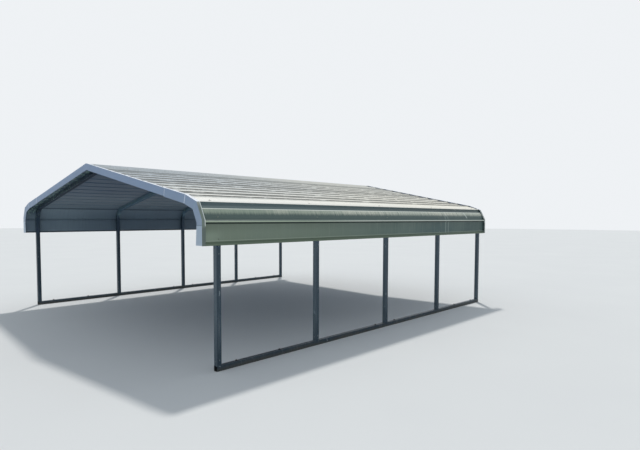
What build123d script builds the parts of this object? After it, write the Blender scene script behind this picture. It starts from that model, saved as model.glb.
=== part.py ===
from build123d import *

import os
from itertools import pairwise
from math import cos, degrees, radians, sin, tan

# Rounded-eave steel carport, open on all four sides, in millimetres.
# X runs across the bay, Y along the roof with the front at -Y, Z up from the floor.
# Five bent tube frames stand on two base rails and carry seven ribbed roof sheets,
# which run lengthwise from eave to eave and turn down as a short skirt on both sides.

# Overall frame
FRAME_WIDTH = 5588.0
FRAME_LENGTH = 5894.0
BAYS = 4
ROOF_PITCH = 11.2
BEND_RADIUS = 285.5

# Square tube of the rails, legs and bows; each corner is cut flat in place of a small round
TUBE = 57.15
TUBE_WALL = 1.9
TUBE_CORNER = 3.3
LEG_LENGTH = 1219.0
BOW_FOOT_LENGTH = 230.0

# Inner tubes that join the pieces of a frame
SLEEVE_WALL = 1.9
SLEEVE_FIT = 0.3
STUB_LENGTH = 150.0
LEG_SLEEVE_LENGTH = 300.0
PEAK_SLEEVE_LENGTH = 150.0

# Anchor holes through the rails, measured from the middle of the nearest leg
ANCHOR_RADIUS = 8.0
ANCHOR_BESIDE_LEG = 235.0
ANCHOR_IN_END_BAY = 850.0

# Roof sheets; the last rib stands on the wall, below the eave bend
SHEET_THICKNESS = 1.0
SHEET_SEAT = 0.2
LAST_RIB_DROP = 194.0
RIB_HEIGHT = 19.0
RIB_BASE = 45.0
RIB_TOP = 16.0
EDGE_LIP = 3.0
LAP_GAP = 0.3
RIDGE_SHEET_RIBS = 2
SHEET_RIBS = 4
SIDE_SHEETS = 3
ROOF_OVERHANG = 178.0

# Folded end trim; its folds are placed by their share of the eave bend, with an extra lift over the ribs
TRIM_THICKNESS = 1.0
TRIM_GAP = 0.3
TRIM_FACE = 88.0
TRIM_EAVE_FACE = 96.0
TRIM_FOOT_FACE = 111.0
TRIM_FLANGE = 40.0
TRIM_HEM = 8.0
TRIM_SPLIT_ABOVE_BEND = 474.0
TRIM_LAP = 75.0
TRIM_FOOT_LAP = 25.0
TRIM_FOLD_SHARES = (-0.134, 0.39, 0.87)
TRIM_FOLD_LIFTS = (0.0, 10.0, 2.0)

SIDES = {"left": -1, "right": 1}
ENDS = {"front": -1, "rear": 1}

# The outer face of a frame, from the ridge down: a slope, the eave bend, a plumb wall
half_width = FRAME_WIDTH / 2
pitch = radians(ROOF_PITCH)
bend_centre = half_width - BEND_RADIUS
slope_end_x = bend_centre + BEND_RADIUS * sin(pitch)
eave_height = TUBE + LEG_LENGTH + BOW_FOOT_LENGTH
slope_end_z = eave_height + BEND_RADIUS * cos(pitch)
ridge_height = slope_end_z + slope_end_x * tan(pitch)
slope_length = slope_end_x / cos(pitch)
bend_turn = radians(90 - ROOF_PITCH)
bend_length = BEND_RADIUS * bend_turn

leg_x = half_width - TUBE / 2
leg_top = TUBE + LEG_LENGTH
end_leg_y = (FRAME_LENGTH - TUBE) / 2
frame_spacing = 2 * end_leg_y / BAYS
frame_places = [index * frame_spacing - end_leg_y for index in range(BAYS + 1)]
corner_shrink = 2 - 2**0.5
sleeve_tube = TUBE - 2 * (TUBE_WALL + SLEEVE_FIT)
sleeve_corner = TUBE_CORNER - (TUBE_WALL + SLEEVE_FIT) * corner_shrink

roof_half = FRAME_LENGTH / 2 + ROOF_OVERHANG
rib_run = (RIB_BASE - RIB_TOP) / 2
rib_face = (rib_run**2 + RIB_HEIGHT**2) ** 0.5
lap_lift = SHEET_SEAT + SHEET_THICKNESS + LAP_GAP
last_rib = RIDGE_SHEET_RIBS + SIDE_SHEETS * SHEET_RIBS
rib_pitch = (slope_length + bend_length + LAST_RIB_DROP) / last_rib
trim_lift = RIB_HEIGHT + lap_lift + SHEET_THICKNESS + TRIM_GAP + TRIM_THICKNESS
trim_step = TRIM_THICKNESS + TRIM_GAP
trim_split = slope_length - TRIM_SPLIT_ABOVE_BEND


def finish(part, name):
    """Labels a finished piece and writes it under its node name."""
    part.label = name
    export_step(part, f"parts/{name}.step")


def skin_point(girth, height):
    """The point at a distance down the frame's outer face from the ridge, and a height above that face.

    A negative distance is on the left side.
    """
    side = -1 if girth < 0 else 1
    along = abs(girth)
    if along <= slope_length:
        x = along * cos(pitch) + height * sin(pitch)
        z = ridge_height - along * sin(pitch) + height * cos(pitch)
    elif along <= slope_length + bend_length:
        angle = bend_turn - (along - slope_length) / BEND_RADIUS
        x = bend_centre + (BEND_RADIUS + height) * cos(angle)
        z = eave_height + (BEND_RADIUS + height) * sin(angle)
    else:
        x = half_width + height
        z = eave_height - (along - slope_length - bend_length)
    return (side * x, z)


def in_bend(girth):
    """True where the outer face is round."""
    return slope_length < abs(girth) < slope_length + bend_length


def draw_skin(marks):
    """Draws a line through marks, each a girth and a height, that follows the eave bend."""
    bend_edges = [side * edge for side in (-1, 1) for edge in (slope_length, slope_length + bend_length)]
    for (start, start_height), (end, end_height) in pairwise(marks):
        if start_height != end_height:
            Line(skin_point(start, start_height), skin_point(end, end_height))
            continue
        low, high = sorted((start, end))
        stops = sorted([low, high] + [edge for edge in bend_edges if low < edge < high], reverse=start > end)
        for first, last in pairwise(stops):
            middle = (first + last) / 2
            if in_bend(middle):
                ThreePointArc(*[skin_point(stop, start_height) for stop in (first, middle, last)])
            else:
                Line(skin_point(first, start_height), skin_point(last, start_height))


def square_marks(size, corner):
    """The eight corners of a square whose own corners are cut flat."""
    half = size / 2
    quarter = [(half, half - corner), (half - corner, half)]
    turned = [(-y, x) for x, y in quarter]
    return quarter + turned + [(-x, -y) for x, y in quarter + turned]


def tube_section(size, wall, corner):
    """Adds the ring of a square tube to the sketch in hand."""
    Polygon(*square_marks(size, corner))
    Polygon(*square_marks(size - 2 * wall, corner - wall * corner_shrink), mode=Mode.SUBTRACT)


def rib_half(height, lift):
    """Half of a rib's width at a height, for a rib line lifted square to its faces."""
    return RIB_BASE / 2 + (lift * rib_face - height * rib_run) / RIB_HEIGHT


def rib_marks(centre, foot, lift):
    """The four corners of a rib line whose feet stand at one height and whose faces are lifted."""
    crest = RIB_HEIGHT + lift
    return [
        (centre - rib_half(foot, lift), foot),
        (centre - rib_half(crest, lift), crest),
        (centre + rib_half(crest, lift), crest),
        (centre + rib_half(foot, lift), foot),
    ]


def over_lap_marks(centre, pan, lift):
    """A rib line that comes from its own pan and lies over the next sheet's rib down to its pan."""
    crest = RIB_HEIGHT + lift
    return [
        (centre - rib_half(pan, lift), pan),
        (centre - rib_half(crest, lift), crest),
        (centre + rib_half(crest, lift), crest),
        (centre + rib_half(lap_lift, lift), lap_lift),
    ]


def under_lap_marks(centre, lift):
    """A rib line that starts half way up its upper face, under the next sheet."""
    start = RIB_HEIGHT / 2
    return [(centre - rib_half(start, lift), start)] + rib_marks(centre, lift, lift)[1:]


def mirrored(marks):
    """The same marks on the other side of the ridge, in the order that keeps them running on."""
    return [(-girth, height) for girth, height in reversed(marks)]


def ridge_sheet_line(lift):
    """One face of the sheet that straddles the ridge and laps over both neighbours."""
    edge = over_lap_marks(RIDGE_SHEET_RIBS * rib_pitch, lift, lift + lap_lift - SHEET_SEAT)
    marks = mirrored(edge)
    for rib in range(1 - RIDGE_SHEET_RIBS, RIDGE_SHEET_RIBS):
        marks += rib_marks(rib * rib_pitch, lift, lift)
    return marks + edge


def side_sheet_line(index, lift):
    """One face of a side sheet, from the rib under its upper neighbour to its lower edge."""
    first_rib = RIDGE_SHEET_RIBS + index * SHEET_RIBS
    marks = under_lap_marks(first_rib * rib_pitch, lift)
    for rib in range(first_rib + 1, first_rib + SHEET_RIBS):
        marks += rib_marks(rib * rib_pitch, lift, lift)
    centre = (first_rib + SHEET_RIBS) * rib_pitch
    if index == SIDE_SHEETS - 1:
        lip_end = (centre + rib_half(RIB_HEIGHT - EDGE_LIP, lift), RIB_HEIGHT - EDGE_LIP)
        return marks + rib_marks(centre, lift, lift)[:-1] + [lip_end]
    return marks + over_lap_marks(centre, lift, lift + lap_lift - SHEET_SEAT)


def make_sheet(name, line, side=1):
    """A ribbed sheet, drawn as the outline of its edge and run the length of the roof."""
    under = [(side * girth, height) for girth, height in line(SHEET_SEAT)]
    over = [(side * girth, height) for girth, height in line(SHEET_SEAT + SHEET_THICKNESS)]
    with BuildPart() as sheet:
        with BuildSketch(Plane.XZ):
            with BuildLine():
                draw_skin(under)
                draw_skin(over)
                Line(skin_point(*under[0]), skin_point(*over[0]))
                Line(skin_point(*under[-1]), skin_point(*over[-1]))
            make_face()
        extrude(amount=roof_half, both=True)
    finish(sheet.part, name)


def make_rail(name, side):
    """A base rail: a square tube open at both ends, with anchor holes from top to bottom."""
    beside_end_leg = end_leg_y - ANCHOR_BESIDE_LEG
    in_end_bay = end_leg_y - ANCHOR_IN_END_BAY
    anchors = [sign * y for sign in (-1, 1) for y in (beside_end_leg, in_end_bay, ANCHOR_BESIDE_LEG)]
    with BuildPart() as rail:
        with BuildSketch(Plane((side * leg_x, 0, TUBE / 2), x_dir=(1, 0, 0), z_dir=(0, 1, 0))):
            tube_section(TUBE, TUBE_WALL, TUBE_CORNER)
        extrude(amount=FRAME_LENGTH / 2, both=True)
        with Locations([(side * leg_x, y, TUBE) for y in anchors]):
            Hole(ANCHOR_RADIUS, depth=TUBE)
    finish(rail.part, name)


def make_inner_tubes(name, bottom, length):
    """The short upright tubes inside the legs, one for each leg."""
    with BuildPart() as inner_tubes:
        with BuildSketch(Plane.XY.offset(bottom)):
            with Locations([(side * leg_x, y) for side in SIDES.values() for y in frame_places]):
                tube_section(sleeve_tube, SLEEVE_WALL, sleeve_corner)
        extrude(amount=length)
    finish(inner_tubes.part, name)


def make_leg(name, side, y):
    """A leg, standing on its rail over a stub."""
    with BuildPart() as leg:
        with BuildSketch(Plane((side * leg_x, y, TUBE))):
            tube_section(TUBE, TUBE_WALL, TUBE_CORNER)
        extrude(amount=LEG_LENGTH)
    finish(leg.part, name)


def make_bow(name, side, y):
    """Half a roof bow: up from the leg, round the eave bend and up the slope to the mitre at the ridge."""
    bend_end_x = bend_centre + (BEND_RADIUS - TUBE / 2) * sin(pitch)
    bend_end_z = eave_height + (BEND_RADIUS - TUBE / 2) * cos(pitch)
    up_slope = Plane((side * bend_end_x, y, bend_end_z), x_dir=(0, 1, 0), z_dir=(-side * cos(pitch), 0, sin(pitch)))
    with BuildPart() as bow:
        with BuildSketch(Plane((side * leg_x, y, leg_top))):
            tube_section(TUBE, TUBE_WALL, TUBE_CORNER)
        extrude(amount=BOW_FOOT_LENGTH)
        with BuildSketch(Plane((side * leg_x, y, eave_height))):
            tube_section(TUBE, TUBE_WALL, TUBE_CORNER)
        bend_axis = Axis((side * bend_centre, y, eave_height), (0, -side, 0))
        revolve(axis=bend_axis, revolution_arc=degrees(bend_turn))
        with BuildSketch(up_slope):
            tube_section(TUBE, TUBE_WALL, TUBE_CORNER)
        extrude(amount=bend_end_x / cos(pitch) + TUBE)
        split(bisect_by=Plane.YZ, keep=Keep.TOP if side > 0 else Keep.BOTTOM)
    finish(bow.part, name)


def make_peak_sleeves(name):
    """The bent inner tubes that join the two halves of each bow at the ridge."""
    middle = ridge_height - TUBE / 2 / cos(pitch)
    reach = PEAK_SLEEVE_LENGTH * cos(pitch)
    drop = PEAK_SLEEVE_LENGTH * sin(pitch)
    with BuildPart() as peak_sleeves:
        for y in frame_places:
            with BuildLine(Plane.XZ.offset(-y)):
                Polyline((-reach, middle - drop), (0, middle), (reach, middle - drop))
            start = Plane((-reach, y, middle - drop), x_dir=(0, 1, 0), z_dir=(cos(pitch), 0, sin(pitch)))
            with BuildSketch(start):
                tube_section(sleeve_tube, SLEEVE_WALL, sleeve_corner)
            sweep(transition=Transition.RIGHT)
    finish(peak_sleeves.part, name)


def beside(points, distance):
    """The corners of a line that runs beside an open line, at a distance to its right."""
    corners = [Vector(*point) for point in points]
    normals = [(after - before).normalized().rotate(Axis.Z, -90) for before, after in pairwise(corners)]
    around = pairwise([normals[0], *normals, normals[-1]])
    shifts = [(first + second) * (distance / (1 + first.dot(second))) for first, second in around]
    return [corner + shift for corner, shift in zip(corners, shifts)]


def add_strip(outer, side, front_y, end, near, far, depth):
    """Adds the band between two distances in from an outer edge, from a front plane towards the sheets."""
    with BuildSketch(Plane.XZ.offset(-front_y)) as strip:
        Polygon(*beside(outer, side * near), *reversed(beside(outer, side * far)), align=None)
    extrude(strip.sketch, amount=end * depth)


def add_fold(outer, side, front_y, end, face, flange):
    """Adds folded sheet along an outer edge: a face, a flange at that edge and a hem at the other one."""
    add_strip(outer, side, front_y, end, 0, face, TRIM_THICKNESS)
    add_strip(outer, side, front_y, end, 0, TRIM_THICKNESS, flange)
    add_strip(outer, side, front_y, end, face - TRIM_THICKNESS, face, TRIM_HEM)


def trim_points(side, marks):
    """The points of a trim's outer edge in the plane of its face."""
    return [(side * x, z) for x, z in (skin_point(*mark) for mark in marks)]


def make_slope_trim(name, side, end):
    """The upper trim piece, mitred at the ridge."""
    outer = trim_points(side, [(0, trim_lift), (trim_split + TRIM_LAP, trim_lift)])
    start_x, start_z = outer[0]
    outer[0] = (start_x - side * TRIM_FACE, start_z + TRIM_FACE * tan(pitch))
    front_y = end * (roof_half + TRIM_GAP + TRIM_THICKNESS)
    with BuildPart() as trim:
        add_fold(outer, side, front_y, end, TRIM_FACE, TRIM_FLANGE)
        split(bisect_by=Plane.YZ, keep=Keep.TOP if side > 0 else Keep.BOTTOM)
    finish(trim.part, name)


def make_eave_trim(name, side, end):
    """The lower trim piece, folded over the eave bend, with its foot lapped flat over its own face."""
    lift = trim_lift + trim_step
    folds = zip(TRIM_FOLD_SHARES, TRIM_FOLD_LIFTS)
    bend_marks = [(slope_length + share * bend_length, lift + extra) for share, extra in folds]
    wall_top = slope_length + bend_length
    foot_end = last_rib * rib_pitch + RIB_TOP / 2
    outer = trim_points(side, [(trim_split, lift), *bend_marks, (wall_top, lift), (wall_top + TRIM_FOOT_LAP, lift)])
    foot_outer = trim_points(side, [(wall_top, lift), (foot_end, lift)])
    (foot_x, foot_top), (foot_x, foot_bottom) = foot_outer
    foot_inner = [(foot_x - side * TRIM_FOOT_FACE, foot_bottom), (foot_x - side * TRIM_EAVE_FACE, foot_top)]
    front_y = end * (roof_half + TRIM_GAP + trim_step + TRIM_THICKNESS)
    foot_front_y = front_y + end * TRIM_THICKNESS
    flange = TRIM_FLANGE + trim_step
    with BuildPart() as trim:
        add_fold(outer, side, front_y, end, TRIM_EAVE_FACE, flange)
        with BuildSketch(Plane.XZ.offset(-foot_front_y)):
            Polygon(*foot_outer, *foot_inner, align=None)
        extrude(amount=end * TRIM_THICKNESS)
        add_strip(foot_outer, side, foot_front_y, end, 0, TRIM_THICKNESS, flange + TRIM_THICKNESS)
    finish(trim.part, name)


os.makedirs("parts", exist_ok=True)

make_inner_tubes("leg_stubs", TUBE, STUB_LENGTH)
make_inner_tubes("leg_sleeves", leg_top - LEG_SLEEVE_LENGTH / 2, LEG_SLEEVE_LENGTH)
make_peak_sleeves("peak_sleeves")
for side_name, side in SIDES.items():
    make_rail(f"base_rail_{side_name}", side)
    for number, y in enumerate(frame_places, start=1):
        make_leg(f"leg_{side_name}_{number}", side, y)
        make_bow(f"bow_{side_name}_{number}", side, y)

make_sheet("roof_sheet_ridge", ridge_sheet_line)
sheet_names = ["upper", "middle", "eave"]
for side_name, side in SIDES.items():
    for index in range(SIDE_SHEETS):
        make_sheet(f"roof_sheet_{side_name}_{sheet_names[index]}", lambda lift: side_sheet_line(index, lift), side)
    for end_name, end in ENDS.items():
        make_slope_trim(f"trim_{end_name}_{side_name}_slope", side, end)
        make_eave_trim(f"trim_{end_name}_{side_name}_eave", side, end)
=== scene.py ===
# %% [markdown]
# An open steel carport with rounded eaves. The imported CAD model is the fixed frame: tubes, ribbed sheets
# and folded trim already have their real shape. They could be modelled again here, but then the two
# models would drift apart. So each surface only gets its finish, and the small fasteners that a maker
# would buy by the box are modelled once and copied to their places. Every length is in metres, in the
# frame of the CAD model.

# %% Load the fixed frame
from math import cos, pi, radians, sin, tan

import bpy
from mathutils import Matrix, Vector


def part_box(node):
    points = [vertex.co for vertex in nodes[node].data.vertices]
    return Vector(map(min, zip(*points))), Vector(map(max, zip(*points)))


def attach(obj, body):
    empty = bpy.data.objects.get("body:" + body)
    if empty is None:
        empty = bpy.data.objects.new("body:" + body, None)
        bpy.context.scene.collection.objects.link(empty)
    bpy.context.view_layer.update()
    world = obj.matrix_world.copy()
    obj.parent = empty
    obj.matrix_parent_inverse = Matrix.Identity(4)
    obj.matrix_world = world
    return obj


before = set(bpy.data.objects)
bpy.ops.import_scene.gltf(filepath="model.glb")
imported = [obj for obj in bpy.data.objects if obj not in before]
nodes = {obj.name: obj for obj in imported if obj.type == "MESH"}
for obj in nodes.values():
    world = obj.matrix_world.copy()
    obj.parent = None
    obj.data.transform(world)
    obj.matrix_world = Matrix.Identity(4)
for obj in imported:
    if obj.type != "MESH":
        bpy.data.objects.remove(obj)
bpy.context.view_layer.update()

# %% [markdown]
# The camera comes first, because every later choice is judged through it. It could be set by eye, but a
# long ribbed roof shows every degree that it is off. So its place and turn were solved from the legs,
# rails, ribs and ridge in the photograph, and it is a point, three angles and a focal length in pixels of
# a picture 640 wide and 450 high. The photograph's middle of view lies a little under the middle of the
# picture, which a small shift gives.

# %% Camera at the photograph's viewing angle
PICTURE_WIDTH = 640
PICTURE_HEIGHT = 450
SENSOR_WIDTH = 36.0
VIEW_DEPTH = 200.0
EYE = Vector((6.9613, -5.8191, 1.5879))
FOCAL_PIXELS = 489.95
VIEW_ROW = 243.42
YAW = radians(-43.45)
DOWN = radians(3.03)
ROLL = radians(-0.19)

camera_data = bpy.data.cameras.new("photo_camera")
camera = bpy.data.objects.new("photo_camera", camera_data)
bpy.context.scene.collection.objects.link(camera)
bpy.context.scene.camera = camera
camera_data.sensor_width = SENSOR_WIDTH
camera_data.lens = SENSOR_WIDTH * FOCAL_PIXELS / PICTURE_WIDTH
camera_data.shift_y = (VIEW_ROW - PICTURE_HEIGHT / 2) / PICTURE_WIDTH
camera_data.clip_end = VIEW_DEPTH
ahead = Vector((sin(YAW) * cos(DOWN), cos(YAW) * cos(DOWN), -sin(DOWN)))
level = Vector((cos(YAW), -sin(YAW), 0.0))
lower = ahead.cross(level)
right = level * cos(ROLL) + lower * sin(ROLL)
up = level * sin(ROLL) - lower * cos(ROLL)
turn = Matrix((right, up, -ahead)).transposed()
camera.matrix_world = Matrix.Translation(EYE) @ turn.to_4x4()
bpy.context.scene.view_settings.view_transform = "Standard"
print("lens:", round(camera_data.lens, 2), "shift:", round(camera_data.shift_y, 4))

# %% [markdown]
# The light is that of a plain studio, and its main part is one broad lamp from behind on the left. It
# could be a large area light, but that would be brighter at one end of a six metre roof, and a sun lamp
# is not. It only grazes the right eave, which is what draws the ribs there.

# %% Broad lamp
LAMP_FROM = Vector((-0.36, 0.36, 0.86))
LAMP_STRENGTH = 1.75
LAMP_SPREAD = radians(4.0)
lamp_data = bpy.data.lights.new("broad_lamp", "SUN")
lamp_data.energy = LAMP_STRENGTH
lamp_data.angle = LAMP_SPREAD
lamp_data.color = (1.0, 0.975, 0.935)
lamp = bpy.data.objects.new("broad_lamp", lamp_data)
bpy.context.scene.collection.objects.link(lamp)
lamp.rotation_mode = "QUATERNION"
lamp.rotation_quaternion = LAMP_FROM.to_track_quat("Z", "Y")
print("lamp from", [round(v, 2) for v in LAMP_FROM], "with strength", LAMP_STRENGTH)

# %% [markdown]
# The other part is an even, slightly cool fill from all round, which could be a ring of weaker lamps, but
# the world does it with no extra shadows. Rays from the camera, and those that gloss or glass sends on,
# see a pale backdrop, and only the rest see the fill. So the background's colour is free, and the light
# on the object stays plain.

# %% Even fill and pale backdrop
FILL_STRENGTH = 0.56
world = bpy.data.worlds.new("even_fill")
bpy.context.scene.world = world
world.use_nodes = True
sky = world.node_tree
sky.nodes.clear()
fill = sky.nodes.new("ShaderNodeBackground")
fill.inputs["Color"].default_value = (0.82, 0.91, 1.0, 1.0)
fill.inputs["Strength"].default_value = FILL_STRENGTH
backdrop = sky.nodes.new("ShaderNodeBackground")
backdrop.inputs["Color"].default_value = (0.86, 0.885, 0.91, 1.0)
ray = sky.nodes.new("ShaderNodeLightPath")
sees_backdrop = ray.outputs["Is Camera Ray"]
for kind in ("Is Glossy Ray", "Is Transmission Ray"):
    larger = sky.nodes.new("ShaderNodeMath")
    larger.operation = "MAXIMUM"
    sky.links.new(sees_backdrop, larger.inputs[0])
    sky.links.new(ray.outputs[kind], larger.inputs[1])
    sees_backdrop = larger.outputs[0]
either = sky.nodes.new("ShaderNodeMixShader")
sky_out = sky.nodes.new("ShaderNodeOutputWorld")
sky.links.new(sees_backdrop, either.inputs[0])
sky.links.new(fill.outputs[0], either.inputs[1])
sky.links.new(backdrop.outputs[0], either.inputs[2])
sky.links.new(either.outputs[0], sky_out.inputs["Surface"])
print("fill strength:", FILL_STRENGTH)

# %% [markdown]
# The floor keeps the object's shadow. A small square would end in view, so it is a disc wide enough to
# reach the horizon in the picture.

# %% Pale floor
FLOOR_RADIUS = 70.0
FLOOR_SIDES = 96
bpy.ops.object.select_all(action="DESELECT")
bpy.ops.mesh.primitive_circle_add(
    vertices=FLOOR_SIDES, radius=FLOOR_RADIUS, fill_type="NGON", location=(0, 0, 0)
)
floor = bpy.context.active_object
floor.name = "studio_floor"
print("floor radius:", FLOOR_RADIUS)

# %% [markdown]
# Finishes are built from a few small steps. Each step could be written out wherever it is used, but then
# every material would be pages of nodes and links, so the steps are written once. The first ones are a
# colour, as it looks on a screen turned into light values, and calculations on numbers and sockets alike.

# %% Colours and calculations
def colour(red, green, blue):
    """A colour written in screen values from 0 to 255, as light values."""
    values = [channel / 255 for channel in (red, green, blue)]
    return [v / 12.92 if v <= 0.04045 else ((v + 0.055) / 1.055) ** 2.4 for v in values] + [1.0]


def feed(tree, value, socket):
    """Links a socket to another one, or writes a plain value into it."""
    if isinstance(value, bpy.types.NodeSocket):
        tree.links.new(value, socket)
    else:
        socket.default_value = value


def calc(tree, operation, *values):
    """One calculation on numbers or sockets."""
    step = tree.nodes.new("ShaderNodeMath")
    step.operation = operation
    for value, socket in zip(values, step.inputs):
        feed(tree, value, socket)
    return step.outputs[0]


def times(tree, first, *others):
    """The product of numbers or sockets."""
    for other in others:
        first = calc(tree, "MULTIPLY", first, other)
    return first


def total(tree, first, *others):
    """The sum of numbers or sockets."""
    for other in others:
        first = calc(tree, "ADD", first, other)
    return first


print("a mid grey is", [round(v, 3) for v in colour(128, 128, 128)])

# %% [markdown]
# Dirt and wear on a real sheet have a place, an edge and a strength. They could be painted by hand, but a
# mask that is calculated stays sharp close up. So a mask is a range mapped to 0 to 1 or a band between
# two values, and each layer of dirt is a colour laid over the ones before it at the mask's share.

# %% Masks and layers
def spread(tree, value, start, end):
    """0 at the start value and 1 at the end value, held beyond both."""
    step = tree.nodes.new("ShaderNodeMapRange")
    step.interpolation_type = "SMOOTHSTEP"
    for number, socket in zip((value, start, end, 0.0, 1.0), step.inputs):
        feed(tree, number, socket)
    return step.outputs[0]


def band(tree, value, start, end, soft):
    """1 between two values and 0 beyond them, with soft edges."""
    rising = spread(tree, value, start - soft, start + soft)
    return times(tree, rising, spread(tree, value, end + soft, end - soft))


def blend(tree, share, first, second, kind="MIX"):
    """The first colour where the share is 0, the second where it is 1."""
    step = tree.nodes.new("ShaderNodeMix")
    step.data_type = "RGBA"
    step.blend_type = kind
    for value, socket in zip((share, first, second), (step.inputs[0], step.inputs[6], step.inputs[7])):
        feed(tree, value, socket)
    return step.outputs[2]


def lay(tree, base, *layers):
    """The base colour with layers laid over it in turn, each a share, a strength and a colour."""
    for share, strength, over in layers:
        base = blend(tree, times(tree, share, strength), base, over)
    return base


print("masks ready: spread and band; colours are put together by blend and lay")

# %% [markdown]
# Every finish starts the same way: a shader, the place on the object, and the way a face looks. The place
# could come from an unwrapped layout, but these pieces have none, and Object coordinates fit them as they
# are. Cloudy noise, a fine relief and the hand-over of a finish to its pieces are also written here once.

# %% A new finish and its noise
def new_finish(name, metallic, roughness):
    """A new material with its shader, and the place on the object as a vector and as x, y and z."""
    finish = bpy.data.materials.new(name)
    finish.use_nodes = True
    tree = finish.node_tree
    shader = tree.nodes["Principled BSDF"]
    shader.inputs["Metallic"].default_value = metallic
    shader.inputs["Roughness"].default_value = roughness
    place = tree.nodes.new("ShaderNodeTexCoord").outputs["Object"]
    parts = tree.nodes.new("ShaderNodeSeparateXYZ")
    tree.links.new(place, parts.inputs[0])
    return finish, tree, shader, place, parts.outputs


def facing_parts(tree, kind):
    """The way the surface faces, as x, y and z."""
    parts = tree.nodes.new("ShaderNodeSeparateXYZ")
    tree.links.new(tree.nodes.new("ShaderNodeNewGeometry").outputs[kind], parts.inputs[0])
    return parts.outputs


def noise(tree, place, scales, detail=3.0, roughness=0.55):
    """Cloudy noise from 0 to 1, with its own scale along each axis, per metre."""
    stretch = tree.nodes.new("ShaderNodeVectorMath")
    stretch.operation = "MULTIPLY"
    feed(tree, place, stretch.inputs[0])
    stretch.inputs[1].default_value = scales
    cloud = tree.nodes.new("ShaderNodeTexNoise")
    tree.links.new(stretch.outputs[0], cloud.inputs["Vector"])
    cloud.inputs["Scale"].default_value = 1.0
    cloud.inputs["Detail"].default_value = detail
    cloud.inputs["Roughness"].default_value = roughness
    return cloud.outputs["Fac"]


def relief(tree, shader, height, distance):
    """Gives a surface a fine relief of that height in metres."""
    bump = tree.nodes.new("ShaderNodeBump")
    bump.inputs["Strength"].default_value = 1.0
    bump.inputs["Distance"].default_value = distance
    tree.links.new(height, bump.inputs["Height"])
    tree.links.new(bump.outputs[0], shader.inputs["Normal"])


def put_on(pieces, finish):
    """Gives pieces that finish and no other one."""
    for piece in pieces:
        piece.data.materials.clear()
        piece.data.materials.append(finish)


print("helpers for finishes ready")

# %% [markdown]
# The roof has one skin that runs from skirt to skirt: a slope, an eave bend and a plumb skirt on each
# side. Dirt, rain streaks and the green film could be placed by x and z, but they follow that skin, so it
# gets its own measure: the girth, which is the distance down the skin from the ridge. The same numbers as
# in the CAD source place the screws on it later.

# %% The roof's skin, as a measure
PITCH = radians(11.2)
HALF_WIDTH = 2.794
BEND_RADIUS = 0.2855
EAVE_HEIGHT = 1.50615
RIB_PITCH = 0.2286
RIBS_PER_SIDE = 14
BEND_RIB = 12 * RIB_PITCH
SKIRT_RIB = 13 * RIB_PITCH
FOOT_RIB = RIBS_PER_SIDE * RIB_PITCH
slope_rise = BEND_RADIUS * cos(PITCH)
slope_set_back = BEND_RADIUS * sin(PITCH)
bend_centre = HALF_WIDTH - BEND_RADIUS
slope_end = bend_centre + slope_set_back
slope_length = slope_end / cos(PITCH)
bend_turn = pi / 2 - PITCH
bend_length = BEND_RADIUS * bend_turn
ridge_height = EAVE_HEIGHT + slope_rise + slope_end * tan(PITCH)


def skin_place(girth, height):
    """A point on the skin at a girth and a height over the frame, and the way the skin faces there."""
    side = -1 if girth < 0 else 1
    down = abs(girth)
    if down <= slope_length:
        angle = bend_turn
        x = down * cos(PITCH)
        z = ridge_height - down * sin(PITCH)
    elif down <= slope_length + bend_length:
        angle = bend_turn - (down - slope_length) / BEND_RADIUS
        x = bend_centre + BEND_RADIUS * cos(angle)
        z = EAVE_HEIGHT + BEND_RADIUS * sin(angle)
    else:
        angle = 0.0
        x = HALF_WIDTH
        z = EAVE_HEIGHT - (down - slope_length - bend_length)
    facing = Vector((side * cos(angle), 0.0, sin(angle)))
    return Vector((side * x, 0.0, z)) + facing * height, facing


print("girth to the lowest rib:", round(FOOT_RIB, 3), "ridge at", round(ridge_height, 3))

# %% [markdown]
# The ribbed sheets are pale paint on steel, years old. Their finish could be painted on an image, but
# that needs an unwrapped layout and blurs close up, so it is built from masks along the skin. First the
# shader works out the same girth as above. Both sides of a sheet are one CAD piece, so the finish also
# asks which way a face looks.

# %% Girth and side of the roof sheets
sheet_finish, tree, shader, place, (x, y, z) = new_finish("weathered_sheet_paint", 0.0, 0.55)
across = calc(tree, "ABSOLUTE", x)
side = calc(tree, "SIGN", x)
rise = calc(tree, "SUBTRACT", z, EAVE_HEIGHT)
out_x = calc(tree, "MAXIMUM", calc(tree, "SUBTRACT", across, bend_centre), slope_set_back)
out_z = calc(tree, "MINIMUM", calc(tree, "MAXIMUM", rise, 0.0), slope_rise)
angle = calc(tree, "ARCTAN2", out_z, out_x)
on_slope = calc(tree, "DIVIDE", calc(tree, "MINIMUM", across, slope_end), cos(PITCH))
on_bend = times(tree, calc(tree, "SUBTRACT", bend_turn, angle), BEND_RADIUS)
on_skirt = calc(tree, "MAXIMUM", times(tree, rise, -1.0), 0.0)
girth = total(tree, on_slope, on_bend, on_skirt)
skin_vector = tree.nodes.new("ShaderNodeCombineXYZ")
for value, socket in zip((girth, y, side), skin_vector.inputs):
    feed(tree, value, socket)
skin = skin_vector.outputs[0]
face_x, _, face_z = facing_parts(tree, "Normal")
outwards = total(tree, times(tree, face_x, side, out_x), times(tree, face_z, out_z))
outer_side = calc(tree, "GREATER_THAN", outwards, 0.001)
print("bend from girth", round(slope_length, 3), "to", round(slope_length + bend_length, 3))

# %% [markdown]
# Rain and dirt run down the sheets, so their noise is stretched along the girth and fine along the roof.
# Plain clouds would look like smoke. The places of ribs, laps and frame lines repeat, and a wrapped
# distance to the nearest one finds all of them at once. Much also changes slowly from the front of the
# roof to its rear, so several layers share one measure of that.

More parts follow.
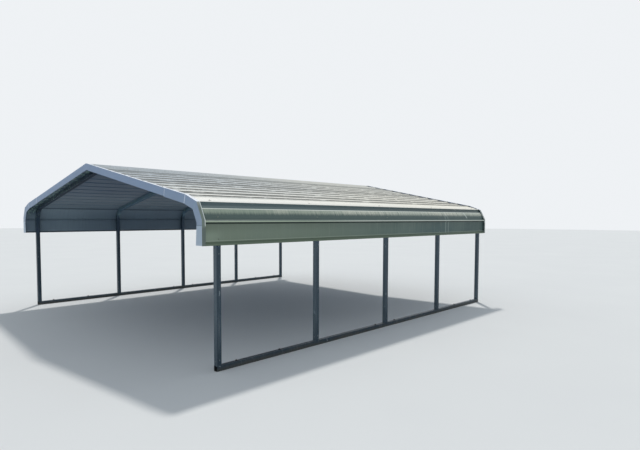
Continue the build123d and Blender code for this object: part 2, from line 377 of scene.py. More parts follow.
# %% Noise and places on the skin
FRAMES = 5
FRAME_LENGTH = 5.894
TUBE = 0.05715
SHEET_PITCH = 4 * RIB_PITCH
frame_line_pitch = (FRAME_LENGTH - TUBE) / (FRAMES - 1)
streaks = noise(tree, skin, (2.2, 34.0, 7.0), 4.0, 0.6)
brushed = noise(tree, skin, (2.0, 85.0, 7.0), 4.0, 0.7)
lengthwise = noise(tree, skin, (0.0, 0.9, 5.0), 2.0)
patches = noise(tree, skin, (1.3, 1.1, 3.0), 3.0)
specks = noise(tree, skin, (38.0, 30.0, 9.0), 3.0, 0.65)
broken = spread(tree, noise(tree, skin, (4.4, 3.6, 9.0), 3.0), 0.3, 0.5)
rib_place = calc(tree, "WRAP", girth, RIB_PITCH / 2, -RIB_PITCH / 2)
from_lap = calc(tree, "SUBTRACT", girth, SHEET_PITCH / 2)
lap_place = calc(tree, "WRAP", from_lap, SHEET_PITCH / 2, -SHEET_PITCH / 2)
line_place = calc(tree, "WRAP", y, frame_line_pitch / 2, -frame_line_pitch / 2)
to_rear = spread(tree, y, -3.0, 1.6)
on_right = calc(tree, "GREATER_THAN", x, 0.0)
print("frame lines every", round(frame_line_pitch, 3), "ribs every", RIB_PITCH)

# %% [markdown]
# On the slopes the paint is chalky and bleached. It is painted cooler and greyer at the front and near the
# ridge, and warmer and brighter towards the rear and the eave, as painted shade and light. It has faint
# grey rain streaks, a dark line below each rib that is partly dirt and partly painted shade of the rib, a
# fainter line of dirt above it, a pale worn line on its crest and a line at each lap. The dirt could be an
# even stripe, but it collects in stretches, so a slow noise breaks it up. Streaks and specks fade towards
# the rear and near the eave.

# %% Bleached paint of the slopes
# Painted shade and light: cooler and greyer at the front and near the ridge, warmer and brighter at the
# rear and the eave.
cool = blend(tree, to_rear, colour(218, 223, 226), colour(244, 241, 231))
warm = blend(tree, to_rear, colour(238, 236, 228), colour(244, 239, 225))
bleached = blend(tree, spread(tree, girth, 0.9, 2.65), cool, warm)
clean_rear = calc(tree, "SUBTRACT", 1.0, times(tree, to_rear, 0.85))
soiled = times(tree, clean_rear, total(tree, spread(tree, girth, 2.66, 2.58), 0.2))
rain_streaks = times(tree, spread(tree, streaks, 0.4, 0.72), soiled)
dirt_specks = times(tree, spread(tree, specks, 0.54, 0.74), soiled)
grey_patches = times(tree, spread(tree, patches, 0.45, 0.72), soiled)
off_ridge = spread(tree, girth, 0.0, 1.2)
off_bend = spread(tree, girth, 2.64, 2.56)
# The dark line below each crest is partly dirt and partly painted shade of the rib.
dirt_and_shade_below_crest = times(tree, band(tree, rib_place, 0.009, 0.0175, 0.0015), off_ridge, broken)
on_crest = times(tree, band(tree, rib_place, -0.01, 0.006, 0.003), spread(tree, girth, 0.0, 1.5))
above_rib = times(tree, band(tree, rib_place, -0.044, -0.022, 0.004), off_bend, broken)
at_lap = band(tree, lap_place, 0.019, 0.026, 0.002)
bleached = lay(
    tree, bleached,
    (rain_streaks, 0.3, colour(178, 180, 174)),
    (dirt_specks, 0.32, colour(158, 158, 150)),
    (grey_patches, 0.2, colour(188, 190, 184)),
    (dirt_and_shade_below_crest, 0.92, colour(80, 76, 68)),
    (on_crest, 0.6, colour(246, 244, 236)),
    (above_rib, 0.35, colour(128, 128, 118)),
    (at_lap, 0.6, colour(78, 82, 80)),
)
print("layers on the bleached paint: 7")

# %% [markdown]
# From the rib on the eave bend down a green film covers the paint. It is even on the skirt, and painted
# darker towards the rear and darker again at the rear end, as shade. It is darkest in the zone above the
# rib at the skirt's top, which is partly film and partly painted shade where the bend turns away from the
# lamp. It could be one green, but a real film is thin in patches and streaks and paler low at the front.
# The zone's edge follows a brushed noise, so it looks wiped.

# %% Green film of the skirt
FILM_TOP = 2.795
film_edge = total(tree, girth, times(tree, calc(tree, "SUBTRACT", brushed, 0.5), 0.07))
# Painted shade: the film gets darker towards the rear.
film = blend(tree, to_rear, colour(120, 134, 116), colour(62, 88, 86))
film = blend(tree, spread(tree, girth, 3.1, 3.0), film, colour(234, 234, 234), "MULTIPLY")
front_low = times(tree, spread(tree, y, -2.8, -3.02), spread(tree, girth, 3.04, 3.12))
film = lay(
    tree, film,
    (front_low, 0.45, colour(150, 165, 147)),
    (spread(tree, patches, 0.35, 0.7), 0.4, colour(112, 128, 118)),
    (spread(tree, streaks, 0.5, 0.75), 0.25, colour(138, 150, 134)),
)
# Painted shade at the rear end of the roof.
film = blend(tree, spread(tree, y, 1.5, 3.0), film, colour(204, 218, 218), "MULTIPLY")
# The zone above the skirt's rib is partly film and partly painted shade.
film_and_shade_above_skirt_rib = band(tree, film_edge, SKIRT_RIB - 0.0918, SKIRT_RIB - 0.0058, 0.012)
film = lay(tree, film, (film_and_shade_above_skirt_rib, 0.8, colour(70, 90, 88)))
print("film from girth", FILM_TOP, "down, its dark zone above the rib at", round(SKIRT_RIB, 3))

# %% [markdown]
# On the eave bend the film is brushed thin, and where the lamp grazes the bend the band is also painted
# pale as light, with a painted highlight along its top. The band runs along the whole roof and is brighter
# from about the second frame on. A light colour alone would look flat, so slow and fine noise vary it. The
# rib at the skirt's top has a bright line, partly wear and partly painted highlight, with a line of
# painted shade under it, and there is a fine pale line above the lowest rib.

# %% Pale band and lines of the eave
LINE_SLANT = 0.008
shade_line = total(tree, girth, times(tree, to_rear, LINE_SLANT))
lit_end = spread(tree, y, -1.9, -0.4)
# Painted highlight along the top of the band.
highlight_atop_band = band(tree, shade_line, 2.822, 2.831, 0.002)
# The pale band is partly brushed film and partly painted light.
pale_and_lit_band = lay(
    tree, blend(tree, lit_end, colour(154, 166, 148), colour(200, 203, 188)),
    (spread(tree, lengthwise, 0.42, 0.62), 0.5, colour(230, 226, 208)),
    (spread(tree, brushed, 0.44, 0.62), 0.65, colour(132, 148, 136)),
    (highlight_atop_band, 0.9, colour(242, 245, 234)),
)
film = blend(tree, spread(tree, film_edge, 2.85, 2.905), pale_and_lit_band, film)
worn_and_lit_crest = blend(tree, lit_end, colour(194, 208, 182), colour(242, 246, 232))
# Painted highlight on the skirt rib's crest, partly wear, and painted shade under that rib.
film = lay(
    tree, film,
    (band(tree, girth, SKIRT_RIB - 0.0048, SKIRT_RIB + 0.0037, 0.0015), 0.97, worn_and_lit_crest),
    (band(tree, girth, SKIRT_RIB + 0.0067, SKIRT_RIB + 0.0232, 0.002), 0.94, colour(40, 52, 46)),
    (band(tree, girth, FOOT_RIB - 0.0384, FOOT_RIB - 0.0324, 0.002), 0.5, colour(172, 184, 164)),
)
print("lines at the ribs on girth", round(SKIRT_RIB, 3), "and", round(FOOT_RIB, 3))

# %% [markdown]
# Two marks break the film on the right: a pair of faint upright lines and a pale scratch across the bend.
# Noise could scatter such marks, but never where they are, so each one is placed. The scratch is slanted
# by adding a share of the girth to its place along the roof.

# %% Marks in the film
SCRATCH_MIDDLE = 2.83
SCRATCH_SLANT = -0.6
upright = total(tree, band(tree, y, 1.66, 1.69, 0.008), band(tree, y, 1.75, 1.775, 0.008))
slanted = total(tree, y, times(tree, calc(tree, "SUBTRACT", girth, SCRATCH_MIDDLE), SCRATCH_SLANT))
scratch = times(tree, band(tree, slanted, 2.38, 2.41, 0.012), band(tree, girth, 2.82, 2.93, 0.01))
film = lay(
    tree, film,
    (times(tree, upright, on_right), 0.35, colour(160, 174, 168)),
    (times(tree, scratch, on_right), 0.8, colour(206, 214, 206)),
)
print("marks: 2 upright lines and 1 scratch")

# %% [markdown]
# The bleached paint and the film meet just below the rib on the bend, in a strip of painted shadow cast by
# that rib, deeper towards the rear. Dirt also gathers round the screws, and the lowest rib is darker. Each
# could be part of one of the two paints, but they lie over both, so they are laid last.

# %% Where paint and film meet
SCREW_ABOVE_RIB = 0.05
painted = blend(tree, spread(tree, girth, FILM_TOP - 0.005, FILM_TOP + 0.005), bleached, film)
# Painted shadow cast by the rib on the bend.
below_rib = spread(tree, girth, BEND_RIB + 0.0058, BEND_RIB + 0.0118)
painted_shadow_under_rib = times(tree, below_rib, spread(tree, shade_line, 2.824, 2.818))
above_nearest_rib = band(tree, rib_place, -SCREW_ABOVE_RIB - 0.008, -0.026, 0.006)
on_frame_line = band(tree, line_place, -0.02, 0.02, 0.012)
round_screw = times(tree, on_frame_line, above_nearest_rib, spread(tree, girth, 2.76, 2.74), broken)
ragged_girth = total(tree, girth, times(tree, patches, 0.008))
low_rib = spread(tree, ragged_girth, FOOT_RIB - 0.0284, FOOT_RIB - 0.0204)
painted = lay(
    tree, painted,
    (painted_shadow_under_rib, 0.96, blend(tree, to_rear, colour(70, 93, 96), colour(44, 68, 70))),
    (round_screw, 0.6, colour(96, 96, 88)),
    (low_rib, 0.85, colour(88, 104, 84)),
)
print("strip under the rib on girth", round(BEND_RIB, 3))

# %% [markdown]
# Underneath, the sheets have a plain grey backing. Its colour is painted darker and bluer up under the
# ridge, paler towards the eaves and the skirt, and darker towards the rear of the skirt, as the shade and
# light that reach it. The hollow of each rib takes less light than the flats. Left to the light alone, the
# ribs would stand out more than they do on the real roof, so their hollows are painted a little paler
# against that shade, apart from the dark ones at the bend and the foot, which are painted shade.

# %% Backing underneath
HALF_HOLLOW = 0.0225
# Painted light and shade: the inner skirt is paler at the front and darker towards the rear.
inner_skirt = blend(tree, spread(tree, y, -2.6, -1.2), colour(122, 141, 154), colour(102, 121, 137))
shaded_low_hollow = spread(tree, girth, FOOT_RIB - 0.0184, FOOT_RIB - 0.0104)
inner_skirt = lay(tree, inner_skirt, (shaded_low_hollow, 0.9, colour(40, 54, 64)))
down_slope = spread(tree, girth, 1.1, 2.4)
# Painted shade deep under the ridge, painted light towards the eaves.
backing = blend(tree, down_slope, colour(38, 70, 100), colour(107, 122, 135))
in_rib = band(tree, rib_place, -HALF_HOLLOW, HALF_HOLLOW, 0.003)
# The rib hollows are painted paler against their shade.
hollow = blend(tree, down_slope, colour(84, 110, 134), colour(125, 143, 158))
backing = lay(tree, backing, (in_rib, 0.9, hollow))
backing = blend(tree, spread(tree, girth, 2.5, 2.85), backing, inner_skirt)
# The dark band at the bend's rib is painted shade.
backing = lay(
    tree, backing,
    (spread(tree, patches, 0.35, 0.7), 0.35, colour(96, 112, 126)),
    (spread(tree, streaks, 0.45, 0.7), 0.15, colour(80, 92, 104)),
    (band(tree, girth, BEND_RIB - 0.0152, BEND_RIB + 0.0168, 0.004), 0.5, colour(58, 70, 82)),
)
print("each hollow of a rib is", 2 * HALF_HOLLOW, "wide")

# %% [markdown]
# The front left overhang is darker underneath and has pale clumps of dry dirt. They could be small
# meshes, but they stand up less than a millimetre, so they are patches of noise with hard edges. With
# that the two sides of the sheets are complete, and the shader takes the painted one where a face looks
# outwards.

# %% Clumps, and the sheets get their finish
front = spread(tree, y, -2.86, -2.9)
front_left = times(tree, front, spread(tree, x, 0.2, -0.3), spread(tree, z, 1.58, 1.68))
clumps = spread(tree, noise(tree, place, (28.0, 28.0, 28.0), 3.0, 0.6), 0.56, 0.6)
backing = lay(
    tree, backing,
    (front_left, 0.75, colour(52, 77, 90)),
    (times(tree, front_left, clumps), 0.85, colour(150, 184, 170)),
)
tree.links.new(blend(tree, outer_side, backing, painted), shader.inputs["Base Color"])
tree.links.new(total(tree, times(tree, specks, 0.25), 0.42), shader.inputs["Roughness"])
waves = noise(tree, skin, (2.5, 1.6, 3.0), 1.0)
relief(tree, shader, total(tree, waves, times(tree, specks, 0.02)), 0.004)
sheets = [nodes[name] for name in sorted(nodes) if name.startswith("roof_sheet")]
put_on(sheets, sheet_finish)
print("sheets finished:", len(sheets))

# %% [markdown]
# The trim on both ends is white folded sheet. Its face is a row of flats that meet in soft folds. A bevel
# in the mesh would catch the light there, but the CAD piece stays as it is, so a fold is a painted
# highlight line in the finish. It crosses the face at right angles to the mean run of the two flats that
# meet there.

# %% Fold lines of the end trim
FOLD_GIRTHS = (2.1397, 2.5611, 2.7669, 2.9553)
FOLD_LIFTS = (0.0241, 0.0241, 0.0341, 0.0261)
DOWN_THE_SLOPE = Vector((cos(PITCH), 0, -sin(PITCH)))
corners = [skin_place(corner_girth, lift)[0] for corner_girth, lift in zip(FOLD_GIRTHS, FOLD_LIFTS)]


def fold_line(tree, across, z, index, half_width):
    """1 on the line that crosses the trim's face at one of its corners."""
    before = (corners[index] - corners[index - 1]).normalized() if index else DOWN_THE_SLOPE
    after = (corners[index + 1] - corners[index]).normalized()
    run = (before + after).normalized()
    along_run = total(tree, times(tree, across, run.x), times(tree, z, run.z))
    offset = calc(tree, "SUBTRACT", along_run, corners[index].dot(run))
    return band(tree, offset, -half_width, half_width, 0.0015)


print("trim corners:", len(corners))

# %% [markdown]
# The trim's face looks away from the weather, so it stays smoother and a little glossy, with faint grey
# runs and some grime. Its white is painted as the bluish grey of white paint in shade, darker towards the
# top. It could be one white, but the real one has a paler foot, below a fine dark line at its lowest fold.
# The flange that lies on the sheets faces up and is painted near white as lit, and it is told apart by how
# it faces.

# %% Face and flange of the end trim
FOOT_TOP = 1.5
FOLD_HIGHLIGHT = colour(246, 249, 255)
trim_finish, tree, shader, place, (x, y, z) = new_finish("white_trim_paint", 0.0, 0.42)
across = calc(tree, "ABSOLUTE", x)
face_x, _, face_z = facing_parts(tree, "True Normal")
runs = noise(tree, place, (30.0, 30.0, 3.0), 3.0, 0.6)
grime = noise(tree, place, (5.0, 5.0, 5.0), 4.0)
low_grime = times(tree, spread(tree, z, FOOT_TOP, 1.3), spread(tree, grime, 0.35, 0.65))
# Painted shade: the white face gets the bluish grey of shaded white paint.
white = lay(
    tree, blend(tree, spread(tree, z, 1.3, 2.0), colour(154, 171, 188), colour(126, 150, 182)),
    (spread(tree, grime, 0.4, 0.7), 0.5, colour(134, 153, 180)),
    (spread(tree, runs, 0.56, 0.76), 0.25, colour(124, 138, 156)),
    (low_grime, 0.3, colour(150, 160, 166)),
    (spread(tree, z, FOOT_TOP + 0.004, FOOT_TOP - 0.002), 0.8, colour(178, 195, 210)),
    # Painted highlights on the first two folds, and a bluish line on the third.
    (fold_line(tree, across, z, 0, 0.005), 0.6, FOLD_HIGHLIGHT),
    (fold_line(tree, across, z, 1, 0.005), 0.7, FOLD_HIGHLIGHT),
    (fold_line(tree, across, z, 2, 0.012), 0.35, colour(136, 166, 184)),
    (band(tree, z, FOOT_TOP, FOOT_TOP + 0.008, 0.002), 0.6, colour(112, 130, 140)),
    # Painted light on the flange that faces up.
    (spread(tree, face_z, 0.5, 0.7), 0.9, colour(228, 232, 240)),
)
print("trim face and flange ready, foot below", FOOT_TOP)

# %% [markdown]
# The flank is the trim's narrow side over the skirt. Its colour is painted as green-grey shade with a
# green reflected cast, as it faces away from the lamp, with some grime, a top painted pale as lit, a
# darker part below the foot and a painted highlight on its cut edge. It could be left white like the face,
# but then it would not look shaded. It is again told apart by how it faces, which works on both sides and
# both ends.

# %% Flank of the end trim, and the trim gets its finish
INNER_EDGE = 3.087
# Painted highlight along the flank's cut edge.
on_edge = band(tree, calc(tree, "ABSOLUTE", y), INNER_EDGE - 0.007, INNER_EDGE + 0.007, 0.001)
edge_highlight = times(tree, on_edge, spread(tree, z, 1.49, 1.51))
# Painted shade with a green reflected cast on the flank.
flank = lay(tree, colour(120, 133, 124), (spread(tree, grime, 0.4, 0.65), 0.4, colour(106, 117, 104)))
# Painted light: the flank's top is pale as lit.
flank = blend(tree, spread(tree, z, 1.66, 1.8), flank, colour(186, 190, 188))
flank = lay(
    tree, flank,
    (spread(tree, z, FOOT_TOP, FOOT_TOP - 0.03), 0.6, colour(84, 98, 94)),
    (edge_highlight, 0.95, colour(236, 242, 236)),
)
sideways = spread(tree, times(tree, face_x, calc(tree, "SIGN", x)), 0.55, 0.8)
tree.links.new(blend(tree, sideways, white, flank), shader.inputs["Base Color"])
tree.links.new(total(tree, times(tree, grime, 0.3), 0.3), shader.inputs["Roughness"])
relief(tree, shader, noise(tree, place, (4.0, 4.0, 4.0), 1.0), 0.002)
trims = [nodes[name] for name in sorted(nodes) if name.startswith("trim_")]
put_on(trims, trim_finish)
print("trim pieces finished:", len(trims))

# %% [markdown]
# The tubes are hot-dip zinc: dull grey metal with faint flat crystals, each a little lighter or darker
# than the next. A cloudy noise could give that mottle, but a Voronoi texture gives the straight-edged
# cells that zinc has. Over it lie cloudy darker parts, pale runs from the rain and small pale chips. The
# colours given to it are darker and bluer than bare zinc, partly as painted shade.

# %% Zinc with crystals, runs and chips
CRYSTALS_PER_METRE = 95.0


def crystal_zinc(tree, place, light, dark, cloud, runs):
    """The metal's colour, and a number that each crystal has for itself."""
    crystals = tree.nodes.new("ShaderNodeTexVoronoi")
    crystals.inputs["Scale"].default_value = CRYSTALS_PER_METRE
    tree.links.new(place, crystals.inputs["Vector"])
    tone = tree.nodes.new("ShaderNodeSeparateColor")
    tree.links.new(crystals.outputs["Color"], tone.inputs[0])
    chips = noise(tree, place, (19.0, 19.0, 13.0), 2.0)
    metal = lay(
        tree, blend(tree, tone.outputs[0], light, dark),
        (spread(tree, cloud, 0.35, 0.7), 0.5, dark),
        (spread(tree, runs, 0.55, 0.8), 0.45, colour(150, 160, 164)),
        (spread(tree, chips, 0.68, 0.72), 0.6, colour(138, 150, 158)),
    )
    return metal, tone.outputs[1]


print("crystals about", round(1000 / CRYSTALS_PER_METRE), "mm across")

# %% [markdown]
# Splashed dirt leaves a brown stain on the rails and on the feet of the legs. The bows have pale flecks
# of corrosion in and above the bend, a little stronger at the front. Both could be in one finish, but
# they never meet on one tube, so each is a function of its own that a tube's finish can take.

# %% Dirt at the foot and flecks in the bend
def dirt_at_foot(tree, place, parts):
    """Splashed dirt on the lowest hand's breadth, ragged at its top."""
    _, _, z = parts
    ragged = noise(tree, place, (3.0, 3.0, 2.0), 4.0)
    height = total(tree, z, times(tree, calc(tree, "SUBTRACT", ragged, 0.5), 0.1))
    return times(tree, spread(tree, height, 0.07, 0.0), 0.6), colour(88, 84, 74)


def flecks_in_bend(tree, place, parts):
    """Pale flecks of corrosion on the bows above the legs, a little stronger at the front."""
    x, y, z = parts
    clear_of_ridge = spread(tree, calc(tree, "ABSOLUTE", x), 0.2, 1.2)
    above_leg = spread(tree, z, 1.5, 1.62)
    ragged = spread(tree, noise(tree, place, (24.0, 24.0, 24.0), 3.0), 0.55, 0.59)
    weaker_behind = calc(tree, "SUBTRACT", 1.0, times(tree, spread(tree, y, -2.6, -1.2), 0.2))
    return times(tree, clear_of_ridge, above_leg, ragged, weaker_behind, 0.65), colour(140, 162, 154)


print("stains ready: dirt_at_foot and flecks_in_bend")

# %% [markdown]
# The front faces of the tubes on the right are painted paler, as lit, and faces that look down are painted
# darker, as shade, and are duller. The bows behind the first one, under the roof, get painted light that
# makes both kinds of face paler. The light alone could make such differences, but here it is even, so they
# are in the colour, chosen by place and by how a face looks.

# %% Finish of the zinc tubes
def zinc_finish(name, light, dark, stain):
    """Zinc with its stain, painted light on the right front faces and on the bows under the roof, and
    painted shade and a duller surface on faces that look down.
    """
    finish, tree, shader, place, parts = new_finish(name, 0.55, 0.5)
    x, y, z = parts
    cloud = noise(tree, place, (3.0, 3.0, 2.0), 4.0)
    runs = noise(tree, place, (60.0, 60.0, 2.5), 3.0, 0.6)
    metal, crystal_number = crystal_zinc(tree, place, light, dark, cloud, runs)
    _, face_y, face_z = facing_parts(tree, "True Normal")
    # Painted shade on faces that look down; painted light on the right front faces and on the bows under
    # the roof.
    underneath = spread(tree, face_z, -0.6, -0.85)
    lit_front_on_right = times(tree, spread(tree, face_y, -0.5, -0.8), spread(tree, x, 2.5, 2.7))
    lit_under_roof = times(tree, spread(tree, z, 1.54, 1.68), spread(tree, y, -2.7, -2.3))
    share, dirt = stain(tree, place, parts)
    metal = lay(
        tree, metal,
        (lit_front_on_right, 0.35, colour(112, 126, 136)),
        (lit_under_roof, 0.85, colour(108, 138, 156)),
        (share, 1.0, dirt),
        (underneath, 0.8, blend(tree, lit_under_roof, colour(34, 48, 66), colour(72, 98, 120))),
    )
    tree.links.new(metal, shader.inputs["Base Color"])
    dull = total(tree, times(tree, underneath, 0.45), times(tree, share, 0.3))
    rough = total(tree, times(tree, crystal_number, 0.12), 0.36, dull)
    tree.links.new(rough, shader.inputs["Roughness"])
    relief(tree, shader, runs, 0.0004)
    return finish


# Painted shade: these zinc colours are darker and bluer than bare zinc, as the shade the tubes stand in,
# and darkest on the rails.
leg_finish = zinc_finish("zinc_leg_tube", colour(62, 79, 91), colour(44, 60, 71), dirt_at_foot)
rail_finish = zinc_finish("zinc_rail_tube", colour(56, 73, 85), colour(40, 56, 68), dirt_at_foot)
bow_finish = zinc_finish("zinc_bow_tube", colour(60, 81, 98), colour(44, 62, 80), flecks_in_bend)
finish_of = {"leg_": leg_finish, "peak_": leg_finish, "base_rail": rail_finish, "bow_": bow_finish}
for start, finish in finish_of.items():
    tubes = [nodes[name] for name in sorted(nodes) if name.startswith(start)]
    put_on(tubes, finish)
    print(start, "pieces in", finish.name + ":", len(tubes))

# %% [markdown]
# The fasteners are small turned and pressed pieces, and each starts as a short cylinder that is shaped in
# edit mode. They could be built point by point, but the operators do it as by hand. These helpers add
# such a cylinder with some of its faces selected, and join two shaped ones into one piece with its place
# in its mesh.

# %% Cylinders shaped by hand
def start_clean():
    """Nothing selected and no edit in progress."""
    if bpy.context.object and bpy.context.object.mode != "OBJECT":
        bpy.ops.object.mode_set(mode="OBJECT")
    bpy.ops.object.select_all(action="DESELECT")


def start_cylinder(sides, radius, bottom, top, wanted):
    """A new upright cylinder in edit mode, with the faces selected that a test accepts."""
    start_clean()
    middle = (0, 0, (bottom + top) / 2)
    bpy.ops.mesh.primitive_cylinder_add(vertices=sides, radius=radius, depth=top - bottom, location=middle)
    piece = bpy.context.active_object
    bpy.ops.object.mode_set(mode="EDIT")
    bpy.ops.mesh.select_mode(type="FACE")
    bpy.ops.mesh.select_all(action="DESELECT")
    bpy.ops.object.mode_set(mode="OBJECT")
    for face in piece.data.polygons:
        face.select = wanted(face)
    bpy.ops.object.mode_set(mode="EDIT")
    return piece


def join_into(kept, other):
    """Joins another piece into the kept one, and puts its place into its mesh."""
    start_clean()
    other.select_set(True)
    kept.select_set(True)
    bpy.context.view_layer.objects.active = kept
    bpy.ops.object.join()
    bpy.ops.object.transform_apply(location=True, rotation=True, scale=True)


print("helpers for small pieces ready")

# %% [markdown]
# A sheet screw has a hexagon head with a round flange. It could be one spun outline, but the head has
# flats, so one is modelled from two short cylinders: the flange's top is drawn in, and the head's top is
# inset and raised a little. The same steps at another size give the anchor's head later.

# %% One sheet screw
def faces_up(face):
    """Picks the faces that look up."""
    return face.normal.z > 0.9


def hex_head(name, flange_radius, flange_height, head_radius, head_height):
    """A hexagon head on a round flange, both with softened tops, seated at the origin and facing up."""
    top = flange_height + head_height
    flange = start_cylinder(12, flange_radius, 0, flange_height, faces_up)
    bpy.ops.transform.resize(value=(0.8, 0.8, 1.0), center_override=(0, 0, flange_height))
    head = start_cylinder(6, head_radius, flange_height, top, faces_up)
    bpy.ops.mesh.inset(thickness=head_radius * 0.16)
    bpy.ops.transform.translate(value=(0, 0, head_height * 0.14))
    join_into(head, flange)
    head.name = name
    return head


screw = hex_head(
    "screw_model",
    flange_radius=0.0075, flange_height=0.0022,
    head_radius=0.0046, head_height=0.0045,
)
print("screw faces:", len(screw.data.polygons))

# %% [markdown]
# The sheet screws were painted to match the sheets and have faded with them. The frame screws are bare
# zinc, and the anchors are dull black steel. All have freckles of rust. They could have three separate
# finishes, but only colour, metal and rust differ, so one function makes all three.

# %% Finishes of the fasteners
def fastener_finish(name, high, low, rust_share, metallic):
    """A small head with rust freckles, in one colour on the slopes and another from the eave bend down."""
    finish, tree, shader, place, (_, _, z) = new_finish(name, metallic, 0.45)
    freckles = noise(tree, place, (240.0, 240.0, 240.0), 3.0)
    rust = times(tree, spread(tree, freckles, 0.5, 0.66), rust_share)
    base = blend(tree, spread(tree, z, 1.68, 1.74), low, high)
    tree.links.new(blend(tree, rust, base, colour(122, 84, 58)), shader.inputs["Base Color"])
    tree.links.new(total(tree, times(tree, rust, 0.4), 0.38), shader.inputs["Roughness"])
    relief(tree, shader, freckles, 0.0003)
    return finish


faded_paint = colour(206, 204, 194)
filmed_paint = colour(122, 135, 122)
dull_zinc = colour(112, 122, 128)
dark_steel = colour(34, 36, 40)
sheet_screw_finish = fastener_finish("faded_screw_paint", faded_paint, filmed_paint, 0.35, 0.0)
frame_screw_finish = fastener_finish("zinc_screw", dull_zinc, dull_zinc, 0.2, 0.7)
anchor_finish = fastener_finish("dark_anchor_steel", dark_steel, dark_steel, 0.25, 0.3)
print("fastener finishes:", sheet_screw_finish.name, frame_screw_finish.name, anchor_finish.name)

# %% [markdown]
# A copy of a model's mesh goes to each place, turned to face out of the surface. A hundred loose objects
# would only slow the scene, so the copies of one row are joined into one piece. It rides on the frame and
# gets its finish.

# %% Copies of a fastener, joined
def place_copies(model, name, places, finish):
    """Copies a model to (point, facing) places and joins the copies into one piece on the frame."""
    start_clean()
    copies = []
    for point, facing in places:
        copy = model.copy()
        copy.data = model.data.copy()
        bpy.context.scene.collection.objects.link(copy)
        turned = facing.to_track_quat("Z", "Y").to_matrix().to_4x4()
        copy.data.transform(Matrix.Translation(point) @ turned)
        copy.select_set(True)
        copies.append(copy)
    bpy.context.view_layer.objects.active = copies[0]
    bpy.ops.object.join()
    piece = bpy.context.active_object
    piece.name = name
    put_on([piece], finish)
    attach(piece, "root")


print("place_copies ready for", screw.name)

# %% [markdown]
# On each frame line one screw holds every flat of the sheets, a little above a rib, from skirt to skirt.
# The places could be typed in, but worked out from the rib pitch and the CAD legs they stay right on the
# skin.

# %% Screws in the sheets
SHEET_TOP = 0.0012
frame_lines = []
for number in range(1, FRAMES + 1):
    low_corner, high_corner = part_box(f"leg_right_{number}")
    frame_lines.append((low_corner.y + high_corner.y) / 2)
ribs = range(1, RIBS_PER_SIDE + 1)
girths = [side * (rib * RIB_PITCH - SCREW_ABOVE_RIB) for side in (-1, 1) for rib in ribs]
for number, line in enumerate(frame_lines, start=1):
    on_skin = [skin_place(girth, SHEET_TOP) for girth in girths]
    spots = [(point + Vector((0, line, 0)), facing) for point, facing in on_skin]
    place_copies(screw, f"sheet_screws_{number}", spots, sheet_screw_finish)
print("sheet screws:", len(girths) * len(frame_lines))

# %% [markdown]
# The trim is held by screws through the flange that lies on the sheets, one at every second rib of the
# slope. They could follow the frame lines, but the flange runs across the ribs at each end, so their line
# is taken from the CAD trim. They stand on top of the rib and the flange.

# %% Screws in the end trim
TRIM_TOP = 0.0228
FROM_TRIM_FACE = 0.019
trim_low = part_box("trim_front_right_slope")[0]
front_line = trim_low.y + FROM_TRIM_FACE
screwed_ribs = range(1, 10, 2)
for end_name, line in (("front", front_line), ("rear", -front_line)):
    on_skin = [skin_place(side * rib * RIB_PITCH, TRIM_TOP) for side in (-1, 1) for rib in screwed_ribs]
    spots = [(point + Vector((0, line, 0)), facing) for point, facing in on_skin]
    place_copies(screw, f"trim_screws_{end_name}", spots, sheet_screw_finish)
print("trim screws:", 2 * 2 * len(screwed_ribs))

# %% [markdown]
# Self-drilling screws at three heights pin each leg to the stub in its foot and to the sleeve at its
# top, which also holds the bow. At each height there is one in the outer face and one in the front face.
# They could be a model of their own, but the real ones are the same screw without paint, so copies of
# that model serve.

# %% Screws in the frame joints
HALF_TUBE = TUBE / 2
LEG_X = HALF_WIDTH - HALF_TUBE
JOINT_HEIGHTS = (0.115, 1.215, 1.292)
FRONT_SCREW_LOWER = 0.012
for side_name, side in (("left", -1), ("right", 1)):
    spots = []
    for line in frame_lines:
        for height in JOINT_HEIGHTS:
            outer = Vector((side * (LEG_X + HALF_TUBE), line, height))
            front = Vector((side * LEG_X, line - HALF_TUBE, height - FRONT_SCREW_LOWER))
            spots.append((outer, Vector((side, 0, 0))))
            spots.append((front, Vector((0, -1, 0))))
    place_copies(screw, f"frame_screws_{side_name}", spots, frame_screw_finish)
    print("frame screws on the", side_name + ":", len(spots))

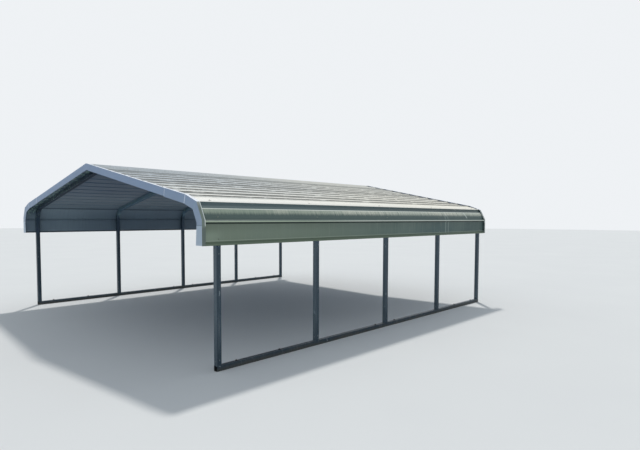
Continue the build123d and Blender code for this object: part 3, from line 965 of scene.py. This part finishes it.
# %% [markdown]
# The rails are held down by anchors with hexagon heads on broad washers, driven through the rail's holes.
# A head alone could stand on each hole, but the rails are open at their ends, so each anchor also has its
# shank down through the rail, drawn in at its tip.

# %% One rail anchor
def faces_down(face):
    """Picks the faces that look down."""
    return face.normal.z < -0.9


SHANK_LENGTH = 0.054
SHANK_RADIUS = 0.0062
anchor = hex_head(
    "anchor_model",
    flange_radius=0.0165, flange_height=0.003,
    head_radius=0.0105, head_height=0.009,
)
shank = start_cylinder(12, SHANK_RADIUS, -SHANK_LENGTH, 0, faces_down)
bpy.ops.transform.resize(value=(0.6, 0.6, 1.0), center_override=(0, 0, -SHANK_LENGTH))
join_into(anchor, shank)
print("anchor faces:", len(anchor.data.polygons))

# %% [markdown]
# The photograph shows one anchor as a dark spot on the rail, next to the front right leg. The others
# follow from it: one beside each end leg, one in each end bay and one on each side of the middle leg.
# Typed numbers would do, but measured from the CAD legs they stay in the rail's holes.

# %% Rail anchors
RAIL_TOP = TUBE
BESIDE_LEG = 0.235
IN_END_BAY = 0.850
end_leg = frame_lines[-1]
rear_half = [BESIDE_LEG, end_leg - IN_END_BAY, end_leg - BESIDE_LEG]
anchor_lines = [-line for line in reversed(rear_half)] + rear_half
for side_name, side in (("left", -1), ("right", 1)):
    spots = [(Vector((side * LEG_X, line, RAIL_TOP)), Vector((0, 0, 1))) for line in anchor_lines]
    place_copies(anchor, f"anchors_{side_name}", spots, anchor_finish)
for model in (screw, anchor):
    bpy.data.objects.remove(model)
print("anchors:", 2 * len(anchor_lines))

# %% [markdown]
# The floor gets a plain pale finish last. It could stay one flat colour, but a very faint cloud makes it
# read as a studio floor and not as a blank.

# %% Finish of the floor
floor_finish, tree, shader, place, _ = new_finish("pale_floor", 0.0, 0.9)
cloud = noise(tree, place, (0.5, 0.5, 0.5), 2.0)
pale = blend(tree, cloud, colour(226, 227, 226), colour(220, 221, 221))
tree.links.new(pale, shader.inputs["Base Color"])
put_on([floor], floor_finish)
print("floor finished with", floor_finish.name)
